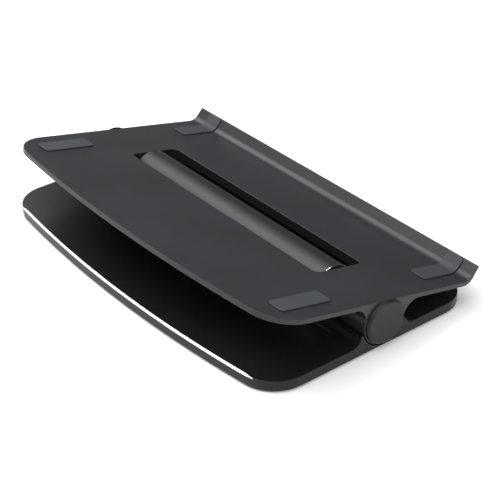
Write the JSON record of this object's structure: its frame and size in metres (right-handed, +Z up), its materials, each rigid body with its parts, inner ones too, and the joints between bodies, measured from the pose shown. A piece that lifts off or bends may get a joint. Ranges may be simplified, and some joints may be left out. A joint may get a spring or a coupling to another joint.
{
  "type": "laptop stand",
  "caption": "Low laptop stand: a tray plate with a front lip and rubber pads tilts on a full-width round friction hinge above a base plate with a bowed, bright-edged rear.",
  "frame": {"origin": "middle of the footprint, on the surface that the feet stand on", "axes": "+X along the hinge, +Y towards the bowed rear edges, away from the tray's front lip, +Z up"},
  "size_m": [0.3054, 0.187, 0.0563],
  "materials": {
    "tray_metal": "charcoal anodised, fine satin",
    "base_metal": "black anodised, smooth satin",
    "barrel_metal": "dark grey anodised, turned satin",
    "trim_metal": "polished, diamond cut",
    "cover_metal": "matte black paint",
    "cap_plastic": "fine matte",
    "pad_rubber": "soft matte grey",
    "foot_rubber": "matte black",
    "screw_steel": "black oxide",
    "hinge_steel": "machined",
    "hinge_bronze": "machined bronze"
  },
  "bodies": {
    "base": {"base_plate": "base_metal", "base_trim_strip": "trim_metal", "hinge_barrel": "barrel_metal", "bottom_cover_rear": "cover_metal", "rear_cover_screw_1": "screw_steel", "rear_cover_screw_2": "screw_steel", "rear_cover_screw_3": "screw_steel", "rear_cover_screw_4": "screw_steel", "foot_rear_left": "foot_rubber", "foot_rear_right": "foot_rubber", "bottom_cover_front": "cover_metal", "front_cover_screw_1": "screw_steel", "front_cover_screw_2": "screw_steel", "front_cover_screw_3": "screw_steel", "front_cover_screw_4": "screw_steel", "foot_front_left": "foot_rubber", "foot_front_right": "foot_rubber", "barrel_screw_1": "screw_steel", "barrel_screw_2": "screw_steel", "barrel_screw_3": "screw_steel", "barrel_screw_4": "screw_steel", "barrel_plug_left": "hinge_steel", "hinge_shaft_left": "hinge_steel", "shaft_disc_left_1": "hinge_steel", "spring_washer_left_1": "hinge_steel", "shaft_disc_left_2": "hinge_steel", "spring_washer_left_2": "hinge_steel", "pressure_washer_left": "hinge_steel", "lock_nut_left": "hinge_steel", "barrel_plug_right": "hinge_steel", "hinge_shaft_right": "hinge_steel", "shaft_disc_right_1": "hinge_steel", "spring_washer_right_1": "hinge_steel", "shaft_disc_right_2": "hinge_steel", "spring_washer_right_2": "hinge_steel", "pressure_washer_right": "hinge_steel", "lock_nut_right": "hinge_steel"},
    "tray": {"tray_plate": "tray_metal", "friction_cup_left": "hinge_bronze", "cup_grub_screw_left": "screw_steel", "cup_disc_left_1": "hinge_bronze", "cup_disc_left_2": "hinge_bronze", "end_cap_left": "cap_plastic", "rear_pad_left": "pad_rubber", "lip_pad_left": "pad_rubber", "friction_cup_right": "hinge_bronze", "cup_grub_screw_right": "screw_steel", "cup_disc_right_1": "hinge_bronze", "cup_disc_right_2": "hinge_bronze", "end_cap_right": "cap_plastic", "rear_pad_right": "pad_rubber", "lip_pad_right": "pad_rubber"}
  },
  "joints": [
    {"name": "tray_tilt", "type": "hinge", "parent": "base", "child": "tray", "pos_m": [0, -0.00796, 0.0199], "axis": [1, 0, 0], "range_deg": [-12.4, 1.5]}
  ]
}
